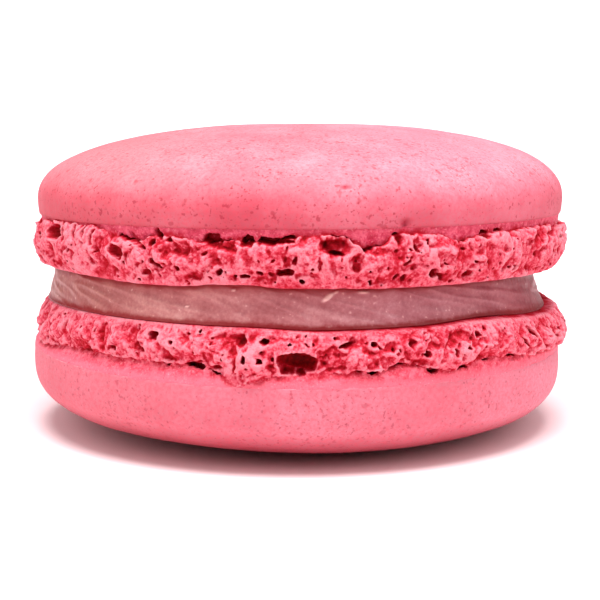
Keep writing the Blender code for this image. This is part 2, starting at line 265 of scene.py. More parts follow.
class Foot:
    """A shell's foot: torn lumps over a smooth skin, a cave between them, and holes.

    skin_tuck is how far the skin draws in just under the crease.  A lower roundness makes the
    lumps' outline fuller.  flush is how far the lumps slope back to the skin at their edge.
    """

    def __init__(self, foot_height, base_radius, skin_radius, skin_tuck, roundness, flush,
                 seed, edge, gapes, hollows, recesses):
        self.foot_height, self.base_radius = foot_height, base_radius
        self.skin_radius, self.skin_tuck = skin_radius, skin_tuck
        self.roundness, self.flush = roundness, flush
        self.noise = Noise(seed)
        self.rng = np.random.default_rng(seed + 1)
        self.edge, self.gapes = edge, gapes
        self.hollows, self.recesses = hollows, recesses
        front = np.arange(-FRONT, FRONT, CELL / MEAN_RADIUS)
        back = np.arange(FRONT, 2 * pi - FRONT, BACK_CELL / MEAN_RADIUS)
        self.angles = np.concatenate([front, back])
        self.heights = np.arange(-2 * CELL, foot_height + 0.25, CELL)
        self.radii = np.arange(INNER_RADIUS, OUTER_RADIUS, CELL)
        angle = self.angles[:, None]
        self.x = MEAN_RADIUS * np.sin(angle) + 0 * self.heights
        self.y = -MEAN_RADIUS * np.cos(angle) + 0 * self.heights
        self.z = self.heights + 0 * angle
        self.warps = [self.wander(offset, 0.13, 0.8) + self.wander(offset, 0.09, 0.3)
                      for offset in (11, 23)]
        self.top = self.torn_edge()
        self.full = self.outline(self.z) - self.sloping()

    def wander(self, offset, amount, size):
        """Noise over the foot's face, from one angle and height to the next."""
        return amount * self.noise(self.x, self.y, self.z + offset, size)

    def outline(self, height):
        """The radius that the lumps reach at a height."""
        share = np.clip(height / self.foot_height, 0, 1)
        rising = np.sin(np.clip(share / WIDEST_SHARE, 0, 1) * pi / 2) ** self.roundness
        past = np.clip((share - WIDEST_SHARE) / (1 - WIDEST_SHARE), 0, 1)
        closing = 0.35 * (1 - np.cos(past * pi / 2))
        return self.base_radius + (FOOT_RADIUS - self.base_radius) * rising - closing

    def skin(self, height):
        """The radius of the smooth skin, which runs on under the crease behind the lumps."""
        below = self.foot_height - height
        tuck = self.skin_tuck * np.clip(below, 0, 1) + 0.28 * np.clip(below - 0.8, 0, 1.2)
        return self.skin_radius - tuck - 0.75 * smoothstep(1.2, 2.8, below)

    def torn_edge(self):
        """The height of the lumps' torn edge, at each angle."""
        turn = degrees_apart(self.angles, 0)
        x, y = self.x[:, 0], self.y[:, 0]
        seen = np.interp(turn, [at for at, _ in self.edge], [below for _, below in self.edge])
        unseen = 0.95 + 0.55 * self.noise(x, y, 0 * x + 5, 2.6)
        below = seen + (unseen - seen) * smoothstep(64, 80, np.abs(turn))
        below = below + 0.13 * self.noise(x, y, 0 * x + 9, 0.8)
        below = below + 0.12 * self.noise.layered(x, y, 0 * x + 12, 0.35, 2)
        return self.foot_height - below

    def gape(self):
        """Half the height of the cave over the torn edge, at each angle."""
        x, y = self.x[:, 0], self.y[:, 0]
        away = smoothstep(60, 80, np.abs(degrees_apart(self.angles, 0)))
        gape = self.noise(x, y, 0 * x + 70, 2.2) + 0.5 * self.noise(x, y, 0 * x + 75, 0.7)
        half = gape * (0.04 + 0.26 * away) - 0.04 + 0.05 * away
        for at, wide, tall in self.gapes:
            off = np.abs(degrees_apart(self.angles, at)) / wide
            half = np.maximum(half, tall * (1 - smoothstep(0.6, 1.15, off)))
        half = 1.2 * half - 0.05 + 0.05 * self.noise(x, y, 0 * x + 79, 0.4)
        return np.clip(half, -0.1, 0.34)

    def sloping(self):
        """How far the lumps slope back to the skin towards their torn edge."""
        to_edge = self.top[:, None] - self.z
        at_front = 1 - smoothstep(35, 75, np.abs(degrees_apart(self.angles, 0)))[:, None]
        return self.flush * (0.3 + 0.7 * at_front) * (1 - smoothstep(0, 1.3, to_edge))

    def relief(self):
        """How far the face of the lumps lies inside its outline."""
        noise = self.noise
        x, y, z = (straight + self.wander(offset, 0.3, 1.3) + self.wander(offset + 5, 0.12, 0.45)
                   for straight, offset in ((self.x, 31), (self.y, 57), (self.z, 83)))
        broad = noise(x, y, z * 1.1, 2.3)
        torn = noise(x + 40, y, z * 1.2, 1.1)
        crack = np.clip(1 - np.abs(noise(x + 80, y, z, 1.6)) / 0.09, 0, 1)
        cracked = smoothstep(-0.1, 0.4, noise(x + 120, y, z, 3.0))
        inset = 0.42 * smoothstep(0.0, 0.6, broad) + 0.28 * smoothstep(0.05, 0.55, torn)
        inset = inset + 0.12 * crack * cracked
        inset = inset * (0.2 + 0.8 * smoothstep(0.0, 0.8, self.z))
        inset = inset + self.wander(200, 0.15, 3.1) + self.wander(240, 0.05, 0.9)
        splits = np.clip(1 - np.abs(noise(x + 160, y, z, 0.75)) / 0.14, 0, 1)
        split = smoothstep(0.0, 0.5, noise(x + 190, y, z, 1.9))
        inset = inset + 0.1 * splits * split
        inset = inset + 0.06 * noise.layered(self.x, self.y, self.z + 140, 0.4, 2)
        for size, deep in ((1.7, 0.26), (0.75, 0.13)):
            inset = inset + deep * (0.3 - np.abs(noise(x, y, z + 170, size)))
        return inset

    def placed_recesses(self):
        """How far the placed hollows sink the face, or where less than zero, raise it."""
        inset = np.zeros_like(self.z)
        for at, up, wide, tall, deep in self.recesses:
            across = np.radians(degrees_apart(self.angles, at))[:, None] * MEAN_RADIUS
            off = np.hypot((across + self.warps[0] * 1.5) / wide,
                           (self.z - up + self.warps[1] * 1.5) / tall)
            inset = inset + deep * (1 - smoothstep(0.5, 1.35, off))
        return inset

    def carve(self, air, angle, height, radius, sizes, tilt=0, power=2):
        """Add a rounded hole to the air.  Its sizes are half its width, height and depth."""
        wide, tall, deep = sizes
        reach = max(wide, tall) + 0.4
        apart = (self.angles - angle + pi) % (2 * pi) - pi
        around = np.abs(apart) < reach / MEAN_RADIUS
        rows = np.abs(self.heights - height) < reach
        layers = np.abs(self.radii - radius) < deep + 0.3
        face = np.ix_(around, rows)
        across = apart[around][:, None] * MEAN_RADIUS + self.warps[0][face]
        up = self.heights[rows][None, :] - height + self.warps[1][face]
        turn = radians(tilt)
        along = across * cos(turn) + up * sin(turn)
        over = up * cos(turn) - across * sin(turn)
        flat = np.abs(along / wide) ** power + np.abs(over / tall) ** power
        inwards = np.abs((self.radii[layers] - radius) / deep) ** power
        distance = (flat[:, :, None] + inwards) ** (1 / power)
        block = np.ix_(around, rows, layers)
        air[block] = np.minimum(air[block], (distance - 1) * min(wide, tall))

    def scattered_holes(self, air):
        """Bubbles at random: the broad ones stay away from the front, where they are placed."""
        rng = self.rng
        for _ in range(PIN_HOLES):
            at = rng.uniform(-pi, pi)
            up = rng.uniform(0.25, self.foot_height - 0.9)
            size = rng.uniform(0.07, 0.13)
            long = size * rng.uniform(1.0, 2.0)
            out = self.outline(up) - rng.uniform(0.0, 0.25)
            tilt = rng.uniform(0, 180)
            self.carve(air, at, up, out, (long, size, rng.uniform(0.12, 0.4)), tilt)
        for _ in range(BROAD_HOLES):
            at = rng.uniform(radians(66), radians(294))
            up = rng.uniform(0.6, self.foot_height - 0.8)
            size = 0.14 + 0.3 * rng.random() ** 2
            long = size * rng.uniform(1.1, 2.3)
            tilt = rng.normal(0, 30)
            self.carve(air, at, up, self.outline(up), (long, size, 0.9), tilt, HOLE_POWER)

    def placed_holes(self, air):
        """The holes that are read from the photo."""
        for at, up, wide, tall, deep, tilt in self.hollows:
            sizes = (HOLE_GROWTH * wide + HOLE_MARGIN, HOLE_GROWTH * tall + HOLE_MARGIN, deep)
            self.carve(air, radians(at), up, self.outline(up), sizes, tilt, HOLE_POWER)

    def field(self):
        """A value for each cell that is less than zero in the foot, in about millimetres."""
        height = self.z[:, :, None]
        radius = self.radii[None, None, :]
        ragged = self.warps[1] * 0.8
        over = (self.z + ragged - self.top[:, None])[:, :, None]
        placed = self.placed_recesses()
        face = (self.full - self.relief() - placed)[:, :, None]
        lumps = smooth_max(radius - face, over, LUMP_ROUNDING)
        skin = self.skin(self.z) + self.wander(400, 0.035, 1.4) + self.wander(430, 0.02, 0.4)
        skin = radius - (skin - 0.8 * np.clip(placed, 0, 1))[:, :, None]
        solid = smooth_min(lumps, skin, HOLE_ROUNDING)
        half = self.gape()[:, None, None]
        cave = np.abs(over - 0.6 * half + 0.2 * (radius - MEAN_RADIUS)) - half
        cave = np.maximum(cave, CAVE_DEPTH_RADIUS - radius)
        solid = smooth_max(solid, -cave, HOLE_ROUNDING)
        air = np.full(solid.shape, FAR, dtype=np.float32)
        self.scattered_holes(air)
        self.placed_holes(air)
        solid = smooth_max(solid, -air, HOLE_ROUNDING)
        base = self.wander(300, 0.035, 1.1)[:, :, None]
        return smooth_max(solid, base - height, BASE_ROUNDING).astype(np.float32)


def box_mean(values, reach):
    """The mean over a box of cells round each, on a grid that closes round its first axis."""
    for axis in range(3):
        padding = [(0, 0), (0, 0), (0, 0)]
        padding[axis] = (reach + 1, reach)
        padded = np.pad(values, padding, mode="edge" if axis else "wrap")
        total = np.cumsum(padded, axis=axis, dtype=np.float32)
        width = 2 * reach + 1
        ahead = [slice(None)] * 3
        behind = [slice(None)] * 3
        ahead[axis] = slice(width, None)
        behind[axis] = slice(None, -width)
        values = (total[tuple(ahead)] - total[tuple(behind)]) / width
    return values


def read_grid(grid, points):
    """The grid's value at points given in grid steps, between its cells too."""
    low = np.floor(points).astype(int)
    part = points - low
    total = 0
    for corner in range(8):
        bits = [(corner >> axis) & 1 for axis in range(3)]
        index = [low[:, axis] + bits[axis] for axis in range(3)]
        index[0] %= grid.shape[0]
        index[1] = np.minimum(index[1], grid.shape[1] - 1)
        index[2] = np.minimum(index[2], grid.shape[2] - 1)
        weight = 1
        for axis in range(3):
            weight = weight * (part[:, axis] if bits[axis] else 1 - part[:, axis])
        total = total + weight * grid[tuple(index)]
    return total


def largest_piece(points, quads):
    """Leave out islands and closed bubbles: keep only the largest connected surface."""
    label = np.arange(len(points))
    edges = np.concatenate([quads[:, [0, 1]], quads[:, [1, 2]], quads[:, [2, 3]]])
    while True:
        before = label.copy()
        low = np.minimum(label[edges[:, 0]], label[edges[:, 1]])
        np.minimum.at(label, edges[:, 0], low)
        np.minimum.at(label, edges[:, 1], low)
        label = label[label]
        if (label == before).all():
            break
    names, counts = np.unique(label[quads[:, 0]], return_counts=True)
    return quads[label[quads[:, 0]] == names[counts.argmax()]]


def crossings(closed, inside):
    """The sum and the number of the places where the edges of each cell cross the surface."""
    total = np.zeros(inside[:-1, :-1, :-1].shape + (3,), dtype=np.float32)
    count = np.zeros(total.shape[:3], dtype=np.int16)
    for axis in range(3):
        others = [a for a in range(3) if a != axis]
        for first, second in ((0, 0), (0, 1), (1, 0), (1, 1)):
            start = [0, 0, 0]
            start[others[0]] = first
            start[others[1]] = second
            end = list(start)
            end[axis] = 1
            a = tuple(slice(s, s + n) for s, n in zip(start, count.shape))
            b = tuple(slice(s, s + n) for s, n in zip(end, count.shape))
            crosses = inside[a] != inside[b]
            here, there = closed[a][crosses], closed[b][crosses]
            point = np.zeros((len(here), 3), dtype=np.float32)
            point[:, axis] = here / (here - there)
            point[:, others[0]] = first
            point[:, others[1]] = second
            total[crosses] += point
            count[crosses] += 1
    return total, count


def quads_across(axis, inside, number):
    """A quad for each grid edge along an axis that crosses the surface, between its cells."""
    others = [(axis + 1) % 3, (axis + 2) % 3]
    low = tuple(slice(0, -1) if a == axis else slice(None) for a in range(3))
    high = tuple(slice(1, None) if a == axis else slice(None) for a in range(3))
    edges = np.argwhere(inside[low] != inside[high])
    keep = np.ones(len(edges), dtype=bool)
    for other in others:
        keep &= edges[:, other] < number.shape[other]
        if other != 0:
            keep &= edges[:, other] > 0
    edges = edges[keep]
    corners = []
    for back in ((0, 0), (1, 0), (1, 1), (0, 1)):
        cell = edges.copy()
        cell[:, others[0]] -= back[0]
        cell[:, others[1]] -= back[1]
        cell[:, 0] %= number.shape[0]
        corners.append(number[tuple(cell.T)])
    quads = np.stack(corners, axis=1)
    inwards = ~inside[low][tuple(edges.T)]
    quads[inwards] = quads[inwards][:, ::-1]
    return quads


def surface_net(field):
    """Draw the surface where a field is zero, on a grid that closes round its first axis.

    Returns points in grid steps and quads.  The field is less than zero inside.
    """
    closed = np.concatenate([field, field[:1]], axis=0)
    inside = closed < 0
    total, count = crossings(closed, inside)
    active = count > 0
    number = np.full(count.shape, -1, dtype=np.int64)
    number[active] = np.arange(int(active.sum()))
    points = np.argwhere(active) + total[active] / count[active][:, None]
    quads = np.concatenate([quads_across(axis, inside, number) for axis in range(3)])
    return points, quads[(quads >= 0).all(axis=1)]


# ---- from a shell to the world

def upper_lift(x):
    """How far the rim of the upper shell's base stands over its plane, from left to right."""
    lift = 0.22 * smoothstep(-13, -17.5, x) - 0.07 * smoothstep(3, 6, x) * smoothstep(14, 10, x)
    return lift + 0.24 * smoothstep(-9, -6.5, x) * smoothstep(-1, -4, x)


def middle_of(low, high):
    return (low + high) / 2 / MM


def upper_base(low):
    """The level of the middle of the upper shell's base, from its box's lower corner."""
    return low[2] / MM + UPPER_BASE_RADIUS * sin(UPPER_TIP)


def upper_place(low, high):
    """A function from the upper shell's own x, y and height to the world's, in mm."""
    middle = middle_of(low, high)
    base = upper_base(low)

    def place(x, y, height):
        share = np.clip(height / UPPER_FOOT_HEIGHT, 0, 1)
        height = height * (1 + UPPER_LEAN * x / DOME_RADIUS) + (1 - share) * upper_lift(x)
        back = y * cos(UPPER_TIP) + height * sin(UPPER_TIP)
        up = height * cos(UPPER_TIP) - y * sin(UPPER_TIP)
        return np.stack([x + middle[0], back + middle[1], up + base], axis=-1)

    return place


def lower_droop(x):
    """How far the lower shell's base hangs at its sides and, a little, right of the middle."""
    left = 0.75 * LOWER_DROOP * np.clip(-x / LOWER_BASE_RADIUS, 0, None) ** 8
    right = LOWER_DROOP * np.clip(x / LOWER_BASE_RADIUS, 0, None) ** 3
    return left + right + 0.25 * smoothstep(-4, 1.5, x) * smoothstep(14.5, 8.5, x)


def lower_sag(x):
    """How much further the lower foot hangs at its right side."""
    return LOWER_SAG * smoothstep(0.6, 1.0, x / LOWER_BASE_RADIUS)


def lower_place(low, high):
    """The same for the lower shell, which is turned over and flat where it would pass its box."""
    middle = middle_of(low, high)
    top = high[2] / MM

    def place(x, y, height):
        share = np.clip(height / LOWER_FOOT_HEIGHT, 0, 1)
        hang = (1 - share) * lower_droop(x) + (1 - share * share) * lower_sag(x)
        down = np.minimum(height * (1 + LOWER_LEAN * x / DOME_RADIUS) + hang, top)
        on_dome = smoothstep(LOWER_FOOT_HEIGHT - 1.2, LOWER_FOOT_HEIGHT, height)
        fuller = 1 + LOWER_FULLER * on_dome
        aside = LOWER_DOME_ASIDE * on_dome + LOWER_FOOT_ASIDE * (1 - on_dome)
        across = x * fuller + aside + middle[0]
        return np.stack([across, y * fuller + middle[1], top - down], axis=-1)

    return place


def add_piece(name, points, faces, material, node, attributes):
    """A smooth mesh, from points in mm and a number of each kind for each of them."""
    mesh = bpy.data.meshes.new(name)
    mesh.from_pydata((points * MM).tolist(), [], faces)
    for key, values in attributes.items():
        layer = mesh.attributes.new(key, "FLOAT", "POINT")
        layer.data.foreach_set("value", values.astype(np.float32))
    mesh.shade_smooth()
    mesh.update()
    piece = bpy.data.objects.new(name, mesh)
    bpy.context.scene.collection.objects.link(piece)
    piece.data.materials.append(material)
    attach(piece, "root")
    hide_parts(node)


def only_used(points, quads):
    """The points that quads use, the quads renumbered to them, and which points they are."""
    used = np.unique(quads)
    number = np.full(len(points), -1)
    number[used] = np.arange(len(used))
    return points[used], number[quads], used


def foot_attributes(foot, field, points, angle, height, radius):
    """What a foot's material reads at each point of its surface.

    depth: how far it lies inside the lumps' outline or, over the torn edge, inside the skin
    cavity, crevice: how far it lies in a hollow, by the share of foot in a wide or narrow box
    veil: how far it is smooth skin
    hem, shade: how near it is to the crease and to the torn edge
    """
    over = height - np.interp(angle, foot.angles, foot.top, period=2 * pi)
    skin = foot.skin(height)
    on_skin = smoothstep(-0.02, 0.14, over)
    full = read_grid(foot.full[:, :, None], points)
    filled = (field < 0).astype(np.float32)
    return {
        "depth": full * (1 - on_skin) + skin * on_skin - radius,
        "cavity": read_grid(box_mean(filled, 3), points) - 0.5,
        "crevice": read_grid(box_mean(filled, 1), points) - 0.5,
        "veil": on_skin * smoothstep(0.4, 0.15, skin - radius),
        "hem": smoothstep(0.9, 0.1, foot.foot_height - height),
        "shade": smoothstep(0.5, 0.1, over),
    }


def add_foot(name, foot, place, turned_over, material, node):
    """A foot in two meshes, its front and back halves, to keep each mesh's size down."""
    field = foot.field()
    points, quads = surface_net(field)
    height = foot.heights[0] + points[:, 1] * CELL
    radius = foot.radii[0] + points[:, 2] * CELL
    hidden = (height < UNSEEN_HEIGHT) & (radius < UNSEEN_RADIUS)
    quads = largest_piece(points, quads[~hidden[quads].all(axis=1)])
    points, quads, used = only_used(points, quads)
    height, radius = height[used], radius[used]
    steps = np.arange(len(foot.angles) + 1)
    angle = np.interp(points[:, 0], steps, np.append(foot.angles, foot.angles[0] + 2 * pi))
    attributes = foot_attributes(foot, field, points, angle, height, radius)
    world = place(radius * np.sin(angle), -radius * np.cos(angle), height)
    if turned_over:
        quads = quads[:, ::-1]
    at_front = angle[quads[:, 0]] < FRONT
    for half, chosen in (("front", at_front), ("back", ~at_front)):
        part_world, part_quads, used = only_used(world, quads[chosen])
        part_attributes = {key: values[used] for key, values in attributes.items()}
        add_piece(name + "_" + half, part_world, part_quads.tolist(), material, node,
                  part_attributes)


def grid_quads(columns, rows):
    """The quads of a grid that closes round its columns, for points kept column by column."""
    i = np.arange(columns)[:, None]
    j = np.arange(rows - 1)[None, :]
    right = (i + 1) % columns
    corners = [i * rows + j, right * rows + j, right * rows + j + 1, i * rows + j + 1]
    return np.stack(corners, axis=-1).reshape(-1, 4)


def dome_profile(foot_height, height, power, skin_radius, step):
    """Radii and levels from under the dome's edge, round its widest ring, to its middle."""
    turn = np.linspace(0, pi / 2, 400)
    widest = foot_height + WIDEST_ABOVE_CREASE
    radius = DOME_RADIUS * np.cos(turn) ** (2 / power)
    level = widest + (height - widest) * np.sin(turn) ** (2 / power)
    lip = skin_radius + step
    under = [(skin_radius - 0.4, 0.12), (skin_radius - 0.1, 0.03), (skin_radius + 0.6 * step, 0.0),
             (lip, 0.06), (0.6 * lip + 0.4 * DOME_RADIUS, 0.3), (DOME_RADIUS - 0.03, 0.7)]
    radius = np.concatenate([[r for r, _ in under], radius])
    level = np.concatenate([[foot_height + up for _, up in under], level])
    along = np.concatenate([[0], np.cumsum(np.hypot(np.diff(radius), np.diff(level)))])
    fine = np.arange(0, 3.2, 0.1)
    medium = np.arange(3.2, 8.0, 0.16)
    coarse = np.linspace(8.0, along[-1], 32)
    places = np.concatenate([fine, medium, coarse])
    return np.interp(places, along, radius), np.interp(places, along, level)


def dome_faces(columns, rows):
    """The faces of a grid whose last row is one point, and which of its points they keep."""
    tip = rows - 1
    quads = grid_quads(columns, rows)
    faces = quads[quads[:, 2] % rows != tip].tolist()
    last_ring = np.arange(columns) * rows + tip - 1
    faces += np.stack([last_ring, np.roll(last_ring, -1), 0 * last_ring + tip], axis=1).tolist()
    kept = np.ones(columns * rows, dtype=bool)
    kept[tip::rows] = False
    kept[tip] = True
    number = np.cumsum(kept) - 1
    return [[int(number[corner]) for corner in face] for face in faces], kept


def add_dome(name, foot_height, height, power, skin_radius, step, place, turned_over, material,
             node, seed, dents):
    """A smooth crown with slight swellings and a few dents."""
    radius, level = dome_profile(foot_height, height, power, skin_radius, step)
    columns = 480
    angle = np.linspace(-pi, pi, columns, endpoint=False)[:, None]
    x, y = radius * np.sin(angle), -radius * np.cos(angle)
    level = level + 0 * angle
    noise = Noise(seed)
    inwards = np.zeros_like(x)
    scar = np.zeros_like(x)
    for at, above, wide, tall, deep in dents:
        across = np.radians(degrees_apart(angle, at)) * radius
        off = np.hypot(across / wide, (level - foot_height - above) / tall)
        dent = 1 - smoothstep(0.3, 1.4, off)
        inwards = inwards + deep * dent
        scar = np.maximum(scar, dent)
    swell = 0.09 * noise(x, y, level, 11) + 0.035 * noise(x, y, level, 3.5)
    swell = swell + 0.008 * noise(x, y, level + 30, 1.1)
    swell = swell * smoothstep(foot_height + 0.3, foot_height + 3, level)
    edge = 0.02 * noise(x, y, level * 0, 1.6) * (1 - smoothstep(0.2, 0.8, level - foot_height))
    share = 1 - (inwards - edge) / DOME_RADIUS
    world = place(x * share, y * share, level + swell).reshape(-1, 3)
    faces, kept = dome_faces(columns, len(radius))
    if turned_over:
        faces = [face[::-1] for face in faces]
    add_piece(name, world[kept], faces, material, node,
              {"scar": scar.reshape(-1)[kept]})


def cream_flakes(angle, share):
    """How far each place on the cream's side is on a flake, from 0 to 1."""
    flakes = 0 * (angle + share)
    for at, up, long, thin, tilt in CREAM_FLAKES:
        across = np.radians(degrees_apart(angle, at)) * CREAM_MEAN_RADIUS
        over = (share - up) * CREAM_HEIGHT
        turn = radians(tilt)
        off = np.hypot((across * cos(turn) + over * sin(turn)) / long,
                       (over * cos(turn) - across * sin(turn)) / thin)
        flakes = np.maximum(flakes, 1 - smoothstep(0.6, 1.3, off))
    return flakes


def cream_side(angle, share):
    """The cream's radius and what its material reads, at each angle and share of its height."""
    noise = Noise(77)
    x, y = CREAM_MEAN_RADIUS * np.sin(angle), -CREAM_MEAN_RADIUS * np.cos(angle)
    radius = CREAM_RADIUS - CREAM_TAPER * share**0.7
    radius = radius + CREAM_FLARE * smoothstep(15, 20, x) * (1 - share) ** 2
    slanted = CREAM_HEIGHT * share + 0.28 * x
    streak = 0.6 * noise(x * 0.12, y * 0.12, slanted, 0.8)
    streak = streak + 0.5 * noise(x * 0.25, y * 0.25 + 5, slanted, 0.4)
    ridge = np.clip(1 - np.abs(noise(x * 0.12, y * 0.12 + 9, slanted, 0.9)) / 0.3, 0, 1)
    spread = 0.13 * noise(x, y, share * 2.5, 4.0) + 0.05 * streak + 0.08 * ridge
    spread = spread + 0.03 * noise(x, y, share * 2.2 + 40, 0.5)
    flake = cream_flakes(angle, share)
    radius = radius + spread * np.sin(pi * share) ** 0.4 + 0.08 * flake
    return radius, {"share": share + 0 * angle, "streak": streak + 0.6 * ridge, "flake": flake}


def add_filling(material):
    """The cream's side, spread unevenly with a knife between the two bases."""
    low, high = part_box("filling")
    middle = middle_of(low, high)
    columns, rows = 900, 34
    angle = np.linspace(-pi, pi, columns, endpoint=False)[:, None]
    share = np.linspace(0, 1, rows)[None, :]
    radius, attributes = cream_side(angle, share)
    x = radius * np.sin(angle) + middle[0]
    y = -radius * np.cos(angle) + middle[1]
    low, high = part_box("lower_shell")
    on_foot = x - middle_of(low, high)[0] - LOWER_FOOT_ASIDE
    bottom = high[2] / MM + CREAM_GAP - lower_droop(on_foot) - lower_sag(on_foot)
    low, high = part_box("upper_shell")
    middle = middle_of(low, high)
    top = upper_base(low) - CREAM_GAP - (y - middle[1]) * tan(UPPER_TIP)
    top = top + upper_lift(x - middle[0])
    rim = np.stack([x, y, bottom + (top - bottom) * share], axis=-1)
    inner = [rim[:, :1] * [0.9, 0.9, 1], rim, rim[:, -1:] * [0.9, 0.9, 1]]
    world = np.concatenate(inner, axis=1)
    for key, values in attributes.items():
        ends = [values[:, :1], values, values[:, -1:]]
        attributes[key] = np.concatenate(ends, axis=1).reshape(-1)
    quads = grid_quads(columns, world.shape[1])
    add_piece("cream_band", world.reshape(-1, 3), quads.tolist(), material, "filling",
              attributes)


# ---- materials

# Colours are red, green and blue from 0 to 255, and ramps have them at places from 0 to 1
CRUST_SIDE = [(0.34, (187, 56, 74)), (0.5, (196, 78, 95)), (0.66, (209, 104, 120))]
# A painted sheen: paler pinks where the crust faces up
CRUST_TOP_SHEEN = [(0.3, (218, 114, 128)), (0.5, (224, 130, 143)), (0.7, (234, 156, 168))]
# A pale pink, on the lower shell painted light from below
CRUST_PALE = (224, 150, 168)
# Painted light: a cooler pink on the right side and a warmer one on the left
CRUST_RIGHT_LIGHT = (231, 168, 191)
CRUST_LEFT_LIGHT = (225, 125, 130)
# Painted shade where the crust faces down
CRUST_SHADE_BELOW = (140, 16, 32)
CRUST_GRAIN = (214, 56, 78)
CRUST_SPECK = (156, 20, 44)
CRUST_SCAR = (168, 16, 50)
# Painted shade: the foot's pinks turn redder and darker deeper in its hollows
FOOT_DEPTH_SHADE = [
    (0.0, (226, 130, 143)), (0.13, (218, 101, 118)), (0.24, (207, 72, 91)),
    (0.34, (191, 42, 62)), (0.46, (180, 20, 40)), (0.6, (160, 9, 24)),
    (0.78, (132, 4, 13)), (0.95, (98, 1, 6))]
DARK_GRAIN = (166, 12, 34)
PALE_GRAIN = (242, 160, 170)
# The skin's own mottled mauve-pinks, darker on the upper shell as painted shade under the dome's
# lip and paler on the lower shell as painted light
UPPER_VEIL = [(0.34, (170, 36, 62)), (0.48, (196, 60, 87)), (0.62, (216, 97, 121))]
LOWER_VEIL = [(0.34, (196, 50, 70)), (0.48, (220, 82, 102)), (0.62, (234, 112, 130))]
# Painted light on the skin next to the crease
VEIL_HEM_LIGHT = (235, 112, 130)
VEIL_SHADE = (172, 16, 38)
CREAM_BODY = [
    (0.2, (166, 98, 102)), (0.45, (184, 121, 124)), (0.7, (201, 147, 147)),
    (0.95, (220, 176, 170))]
# Painted light: the cream warmer and paler on the left, darker and mauver on the right
CREAM_LIGHT_TINT = [
    (0.0, (216, 196, 182)), (0.12, (228, 206, 194)), (0.28, (254, 246, 238)),
    (0.7, (246, 236, 246)), (1.0, (200, 136, 150))]
CREAM_FLECK = (246, 204, 196)
# Painted shade at the cream's edges and seams, next to the shells
CREAM_EDGE_SHADE = (140, 16, 26)
CREAM_SEAM_SHADE = (128, 4, 14)
FLOOR = [(0.0, (246, 224, 227)), (1.0, (249, 228, 231))]


class Shader:
    """A new material whose nodes are made and joined by short calls."""

    def __init__(self, name):
        self.material = bpy.data.materials.new(name)
        self.material.use_nodes = True
        self.nodes = self.material.node_tree.nodes
        self.links = self.material.node_tree.links
        self.surface = self.nodes["Principled BSDF"]
        self.place = self.nodes.new("ShaderNodeTexCoord").outputs["Object"]

    def feed(self, node, inputs):
        """Give a node's inputs other nodes' outputs, or plain values."""
        for key, value in inputs.items():
            if hasattr(value, "is_output"):
                self.links.new(value, node.inputs[key])
            else:
                node.inputs[key].default_value = value

    def add(self, kind, inputs):
        """A new node of a kind."""
        node = self.nodes.new("ShaderNode" + kind)
        self.feed(node, inputs)
        return node

    def attribute(self, name):
        node = self.add("Attribute", {})
        node.attribute_name = name
        return node.outputs["Fac"]

    def part(self, vector, axis):
        """One coordinate of a vector."""
        return self.add("SeparateXYZ", {0: vector}).outputs[axis]

    def noise(self, size_mm, detail, roughness):
        """Noise from 0 to 1 whose features are about size_mm across."""
        node = self.add("TexNoise", {"Scale": 1 / (size_mm * MM), "Detail": detail,
                                     "Roughness": roughness, "Vector": self.place})
        return node.outputs["Fac"]

    def waver(self, size_mm, detail, roughness):
        """The same noise about 0."""
        return self.math("SUBTRACT", self.noise(size_mm, detail, roughness), 0.5)

    def math(self, operation, first, second):
        node = self.add("Math", {0: first, 1: second})
        node.operation = operation
        return node.outputs[0]

    def plus(self, first, second):
        return self.math("ADD", first, second)

    def times(self, first, second):
        return self.math("MULTIPLY", first, second)

    def span(self, value, low, high, to_low=0, to_high=1):
        """Turn low to high into to_low to to_high, and hold what lies beyond at the ends."""
        node = self.add("MapRange", {"Value": value, "From Min": low, "From Max": high,
                                     "To Min": to_low, "To Max": to_high})
        return node.outputs["Result"]

    def ramp(self, value, stops):
        """The colour at a value along stops, which are places and colours."""
        node = self.add("ValToRGB", {"Fac": value})
        elements = node.color_ramp.elements
        while len(elements) < len(stops):
            elements.new(0.5)
        for element, (position, colour) in zip(elements, stops):
            element.position = position
            element.color = srgb(*colour)
        return node.outputs["Color"]

    def mix(self, factor, first, second, blend="MIX"):
        node = self.add("Mix", {})
        node.data_type = "RGBA"
        node.blend_type = blend
        used = {socket.name: place for place, socket in enumerate(node.inputs) if socket.enabled}
        first, second = (srgb(*c) if isinstance(c, tuple) else c for c in (first, second))
        self.feed(node, {used["Factor"]: factor, used["A"]: first, used["B"]: second})
        return [output for output in node.outputs if output.enabled][0]

    def bump(self, height, distance_mm):
        node = self.add("Bump", {"Distance": distance_mm * MM, "Height": height})
        self.feed(self.surface, {"Normal": node.outputs["Normal"]})

    def finish(self, colour, roughness, subsurface, reach, specular):
        """Set the surface, where light spreads under it as far as reach, in mm."""
        self.feed(self.surface, {
            "Base Color": colour, "Roughness": roughness, "Specular IOR Level": specular,
            "Subsurface Weight": subsurface, "Subsurface Radius": (1.0, 0.35, 0.3),
            "Subsurface Scale": reach * MM})
        return self.material


def srgb(red, green, blue):
    """A linear colour from the usual 0 to 255 values."""
    return tuple(((c / 255 + 0.055) / 1.055) ** 2.4 for c in (red, green, blue)) + (1,)


